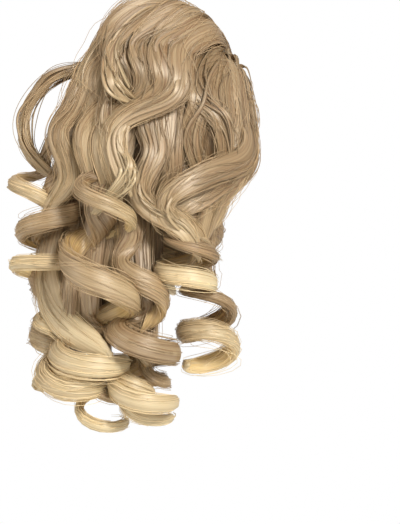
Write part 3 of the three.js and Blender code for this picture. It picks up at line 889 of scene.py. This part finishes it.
def random(salt, limits):
    """A number of its own for each strand, between two limits."""
    low, high = limits
    seed = maths("ADD", given["Seed"], float(salt))
    inputs = {RANDOM_LOW: low, RANDOM_HIGH: high, "ID": strand_id, "Seed": seed}
    return add_node(strands, "FunctionNodeRandomValue", inputs).outputs[RANDOM_NUMBER]


def stored_way(name, size):
    """A direction stored under a name, times a size."""
    way = named(strands, name, "FLOAT_VECTOR")
    return joined(strands, "ShaderNodeVectorMath", way, None, None, size, operation="SCALE")


share = named(strands, "share")
swing = maths("ADD", maths("MULTIPLY", share, random(1, SWAY_RATES)), random(2, ANY_ANGLE))
angle = maths("MULTIPLY_ADD", maths("SINE", swing), given["Sway"], random(3, ANY_ANGLE))
rooted = joined(strands, "ShaderNodeMapRange", share, 0.0, ROOTED_OVER)
reach = maths("MULTIPLY", maths("MULTIPLY", given["Reach"], random(4, REACH_SHARES)), rooted)
aside = maths("MULTIPLY", maths("MULTIPLY", maths("COSINE", angle), reach), named(strands, "half_width"))
above = maths("MULTIPLY", maths("MULTIPLY", maths("SINE", angle), reach), named(strands, "half_depth"))
offset = joined(strands, "ShaderNodeVectorMath", stored_way("across", aside), stored_way("facing", above),
                operation="ADD")
moved = add_node(strands, "GeometryNodeSetPosition", {"Geometry": copies["Geometry"], "Offset": offset})
streak_at = joined(strands, "ShaderNodeCombineXYZ", random(5, STREAK_PLACES), named(strands, "along_mm"),
                   named(strands, "number"))
stored = add_node(strands, "GeometryNodeStoreNamedAttribute",
                  {"Geometry": moved.outputs[0], "Name": "strand_at", "Value": streak_at},
                  data_type="FLOAT_VECTOR")
kept = {"Curve": stored.outputs[0], TRIM_START: 0.0, TRIM_END: random(6, STRAND_ENDS)}
trimmed = add_node(strands, "GeometryNodeTrimCurve", kept, mode="FACTOR")
circle = add_node(strands, "GeometryNodeCurvePrimitiveCircle",
                  {"Resolution": TUBE_SIDES, "Radius": given["Thickness"]})
swept = add_node(strands, "GeometryNodeCurveToMesh",
                 {"Curve": trimmed.outputs[0], "Profile Curve": circle.outputs[0], "Fill Caps": True})
realized = joined(strands, "GeometryNodeRealizeInstances", swept.outputs[0])
finished = joined(strands, "GeometryNodeSetMaterial", realized, None, given["Material"])
add_node(strands, "NodeGroupOutput", {"Geometry": finished})
print("strand tree with", len(strands.nodes), "nodes")

# %% [markdown]
# The guides are plain polylines with the section's two directions and sizes as attributes. The modifier's
# inputs are set by their identifiers before the object is evaluated, and the result becomes a mesh of its
# own, so that nothing is left to compute later.

# %% Strands on the locks
GUIDE_STEPS = 46
GUIDE_KEYS = ("share", "along_mm", "half_width", "half_depth", "across", "facing", "number", "pale")
CELL_SHARE = 0.4
SEED_STEP = 10


def polylines(name, paths, keys):
    """Polylines through the points of the paths, with the values under these keys stored there."""
    mesh = bpy.data.meshes.new(name)
    count = len(paths[0]["point"])
    edges = [(k * count + i, k * count + i + 1) for k in range(len(paths)) for i in range(count - 1)]
    mesh.from_pydata(np.concatenate([path["point"] for path in paths]).tolist(), edges, [])
    for key in keys:
        add_values(mesh, key, np.concatenate([path[key] for path in paths]))
    return new_object(name, mesh)


def weft_guides(name):
    """The centre lines of a weft's locks, with what the strand tree and the hair material read."""
    paths = [path_steps(row, SEATS[name][0], GUIDE_STEPS) for row in WEFTS[name]]
    for number, path in enumerate(paths):
        path["number"] = np.full(GUIDE_STEPS, number)
        path["pale"] = paleness(path["lock"], path["share"])
    return polylines(name + "_guides", paths, GUIDE_KEYS)


def cell_map(mesh):
    """A small cell of its own on the map for each face, as a strand is too thin to show more."""
    sizes = np.empty(len(mesh.polygons), np.int32)
    mesh.polygons.foreach_get("loop_total", sizes)
    face = np.repeat(np.arange(len(sizes)), sizes)
    corner = np.arange(len(face)) - np.repeat(np.cumsum(sizes) - sizes, sizes)
    turn = 2 * math.pi * corner / sizes[face]
    cells = math.ceil(math.sqrt(len(sizes)))
    centre = np.stack([face % cells, face // cells], 1) + 0.5
    spots = (centre + CELL_SHARE * np.stack([np.cos(turn), np.sin(turn)], 1)) / cells
    mesh.uv_layers.new(name="OFBake").uv.foreach_set("vector", spots.astype(np.float32).ravel())


def grown(name, guides, group, defaults, **sizes):
    """The result of a tree on the guides, as a plain mesh object."""
    modifier = guides.modifiers.new("grow", "NODES")
    modifier.node_group = group
    wanted = {key: value for key, _, value in defaults}
    wanted.update(sizes)
    for socket in group.interface.items_tree:
        if socket.in_out == "INPUT" and socket.name in wanted:
            modifier[socket.identifier] = wanted[socket.name]
    graph = bpy.context.evaluated_depsgraph_get()
    mesh = bpy.data.meshes.new_from_object(guides.evaluated_get(graph), preserve_all_data_layers=True,
                                           depsgraph=graph)
    mesh.name = name
    bpy.data.objects.remove(guides)
    corners = np.empty(3 * len(mesh.vertices), np.float32)
    mesh.vertices.foreach_get("co", corners)
    mesh.vertices.foreach_set("co", clear_of_cap(corners.reshape(-1, 3)).ravel())
    cell_map(mesh)
    mesh.shade_smooth()
    return new_object(name, mesh)


strand_pieces = []
for seed, name in enumerate(WEFTS):
    strand_pieces.append(grown(name + "_strands", weft_guides(name), strands, STRAND_INPUTS,
                               Seed=SEED_STEP * seed))
print("triangles of the strands", {piece.name: triangles(piece) for piece in strand_pieces})

# %% [markdown]
# A few single hairs leave the locks and fly in wide loops, more of them at the right edge than elsewhere.
# They are the same strands, thinner and with a longer reach, so the same tree makes them with other
# inputs. That is what named inputs are for: one tree, two kinds of hair.

# %% Flyaway hairs
FLYAWAYS = {
    # weft: hairs of each lock, and their reach, where 1 is the lock's own edge
    "crown": (3, 1.4),
    "right": (6, 1.8),
    "left": (2, 1.6),
    "front": (3, 1.6),
    "far": (3, 1.6),
}
FLYAWAY_THICKNESS = 0.00017
FLYAWAY_SWAY = 1.3
FLYAWAY_SEED = 100

for seed, (name, (hairs, reach)) in enumerate(FLYAWAYS.items()):
    strand_pieces.append(grown(name + "_flyaways", weft_guides(name), strands, STRAND_INPUTS, Strands=hairs,
                               Thickness=FLYAWAY_THICKNESS, Reach=reach, Sway=FLYAWAY_SWAY,
                               Seed=FLYAWAY_SEED + SEED_STEP * seed))
print("triangles of the flyaways", sum(triangles(piece) for piece in strand_pieces[len(WEFTS):]))

# %% [markdown]
# The net of the cap, its comb and the sewing thread are plain things, but none of them is one flat colour.
# A small shared group gives a soft mottle and a fine grain on Object coordinates, and each material takes
# it at a scale of its own. The net is drawn as two crossing sets of threads, with painted shade in the gaps
# between them.

# %% Mottle shared by the cap, the comb and the thread
MOTTLE_DETAIL = 3.0

mottle = bpy.data.node_groups.new("mottle_and_grain", "ShaderNodeTree")
for name in ("Mottle", "Grain"):
    mottle.interface.new_socket(name + " Scale", in_out="INPUT", socket_type="NodeSocketFloat")
    mottle.interface.new_socket(name, in_out="OUTPUT", socket_type="NodeSocketFloat")
given = add_node(mottle, "NodeGroupInput").outputs
object_at = add_node(mottle, "ShaderNodeTexCoord").outputs["Object"]
mottle_out = add_node(mottle, "NodeGroupOutput")
for name in ("Mottle", "Grain"):
    inputs = {"Vector": object_at, "Scale": given[name + " Scale"], "Detail": MOTTLE_DETAIL}
    feed(mottle, mottle_out.inputs[name], add_node(mottle, "ShaderNodeTexNoise", inputs).outputs["Fac"])
print("mottle group with", len(mottle.nodes), "nodes")

# %% Net, comb and thread materials
PLAIN_MATERIALS = {
    # name: dark and light colour, roughness, scales of mottle and grain, strength and distance of the bump
    "cap_net": ((0.10, 0.062, 0.036, 1), (0.17, 0.11, 0.068, 1), 0.85, (90, 1500), (0.8, 0.0006)),
    "comb_plastic": ((0.018, 0.011, 0.008, 1), (0.032, 0.02, 0.014, 1), 0.38, (140, 2200), (0.12, 0.0002)),
    "sewing_thread": ((0.20, 0.13, 0.075, 1), (0.30, 0.21, 0.125, 1), 0.7, (400, 5000), (0.4, 0.0002)),
}
MOTTLE_LIMITS = (0.3, 0.7)
NET_STEP = 0.0021
NET_THREAD = 0.42
NET_TURN = (0, math.radians(45), 0)
NET_LIMITS = (0.0, 0.4)
# The gaps of the net are painted shade: a dark colour where the holes would show only shadow.
GAP_SHADE_COLOUR = (0.035, 0.022, 0.013, 1)


def net_threads(tree):
    """A height that stands up along two crossing sets of threads."""
    at = add_node(tree, "ShaderNodeTexCoord").outputs["Object"]
    turned = add_node(tree, "ShaderNodeMapping", {"Vector": at, "Rotation": NET_TURN}).outputs["Vector"]
    apart = add_node(tree, "ShaderNodeSeparateXYZ", {"Vector": turned}).outputs
    threads = []
    for axis in ("X", "Z"):
        wave = joined(tree, "ShaderNodeMath", apart[axis], math.pi / NET_STEP, operation="MULTIPLY")
        swing = joined(tree, "ShaderNodeMath", wave, operation="COSINE")
        size = joined(tree, "ShaderNodeMath", swing, operation="ABSOLUTE")
        threads.append(mapped(tree, size, 1 - NET_THREAD, 1))
    return joined(tree, "ShaderNodeMath", *threads, operation="MAXIMUM")


def plain_material(name):
    """A mottled material with a fine grain; the net has threads and gaps of painted shade instead of the
    grain.
    """
    dark, light, roughness, scales, bump = PLAIN_MATERIALS[name]
    material, tree, shader = new_material(name)
    shader.inputs["Roughness"].default_value = roughness
    scaled = dict(zip(("Mottle Scale", "Grain Scale"), scales))
    shared = add_node(tree, "ShaderNodeGroup", scaled, node_tree=mottle).outputs
    colour = mix_colour(tree, mapped(tree, shared["Mottle"], *MOTTLE_LIMITS), dark, light)
    height = shared["Grain"]
    if name == "cap_net":
        height = net_threads(tree)
        # Painted shade fills the gaps between the threads.
        colour = mix_colour(tree, mapped(tree, height, *NET_LIMITS), GAP_SHADE_COLOUR, colour)
    feed(tree, shader.inputs["Base Color"], colour)
    bumped(tree, shader, height, *bump)
    return material


net, comb_plastic, thread = map(plain_material, PLAIN_MATERIALS)
for node, material in (("base_cap", net), ("comb", comb_plastic)):
    piece = bpy.data.objects[node]
    piece.data.materials.clear()
    piece.data.materials.append(material)
print("materials", net.name, comb_plastic.name, thread.name)

# %% [markdown]
# Each weft is sewn to the cap with a row of overcast stitches, and the rim of the net is overcast too.
# Stitches repeat along a path, so a second tree places them: points at an even spacing along the row, and
# a short rounded thread on each point that lies along the direction stored there.

# %% Stitch tree
STITCH_INPUTS = [
    ("Spacing", "NodeSocketFloat", 0.0032),
    ("Length", "NodeSocketFloat", 0.0062),
    ("Thickness", "NodeSocketFloat", 0.0009),
    ("Material", "NodeSocketMaterial", thread),
]
BEAD = {"Segments": 6, "Rings": 5, "Radius": 0.5}

stitches = geometry_tree("stitches_along_row", STITCH_INPUTS)
given = add_node(stitches, "NodeGroupInput").outputs
row_curve = joined(stitches, "GeometryNodeMeshToCurve", given["Geometry"])
spots = add_node(stitches, "GeometryNodeCurveToPoints", {"Curve": row_curve, "Length": given["Spacing"]},
                 mode="LENGTH")
turn = add_node(stitches, "FunctionNodeAlignRotationToVector",
                {"Vector": named(stitches, "across", "FLOAT_VECTOR")}, axis="Z")
size = joined(stitches, "ShaderNodeCombineXYZ", given["Thickness"], given["Thickness"], given["Length"])
placed = add_node(stitches, "GeometryNodeInstanceOnPoints", {
    "Points": spots.outputs["Points"],
    "Instance": add_node(stitches, "GeometryNodeMeshUVSphere", BEAD).outputs["Mesh"],
    "Rotation": turn.outputs["Rotation"],
    "Scale": size,
})
realized = joined(stitches, "GeometryNodeRealizeInstances", placed.outputs["Instances"])
finished = joined(stitches, "GeometryNodeSetMaterial", realized, None, given["Material"])
add_node(stitches, "NodeGroupOutput", {"Geometry": finished})
print("stitch tree with", len(stitches.nodes), "nodes")

# %% [markdown]
# The rows are arcs on the cap: one over each strip, and one round the rim. Each point of a row stores the
# direction of its stitch, which lies across the row and a little aslant, as an overcast stitch does.

# %% Stitches on the strips and the rim
ROW_STEPS = 96
RING_STEP = 0.01
SLANT = 0.35
RIM_SEAT = (0.985, 0, 360)
RIM_LIFT = 0.5
RIM_STITCH = 0.003


def stitch_row(seat, lift):
    """Points of an arc on the cap and the directions in which the stitches lie."""
    ring, start, end = seat
    degrees = np.linspace(start, end, ROW_STEPS)
    point = np.array([cap_point(d, ring, lift) for d in degrees])
    outer = np.array([cap_point(d, ring + RING_STEP, lift) for d in degrees])
    along = unit(np.gradient(point, axis=0))
    return dict(point=point, across=unit(unit(outer - point) + SLANT * along))


strip_rows = polylines("strip_rows", [stitch_row(seat, STRIP_DEPTH) for seat in SEATS.values()], ["across"])
strip_stitches = grown("strip_stitches", strip_rows, stitches, STITCH_INPUTS)
rim_row = polylines("rim_row", [stitch_row(RIM_SEAT, RIM_LIFT)], ["across"])
rim_stitches = grown("rim_stitches", rim_row, stitches, STITCH_INPUTS, Length=RIM_STITCH)
print("triangles of the stitches", triangles(strip_stitches) + triangles(rim_stitches))

# %% [markdown]
# Each body of hair stands for its weft, and everything rides on the part's one body.

# %% Hand the pieces to the frame
for name, piece in bodies.items():
    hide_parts(name + "_weft")
for piece in [*bodies.values(), *strand_pieces]:
    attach(piece, "root")
for piece in (strip_stitches, rim_stitches):
    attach(piece, "root")

added = [*bodies.values(), *strand_pieces, strip_stitches, rim_stitches]
print("triangles in all", sum(map(triangles, added)))
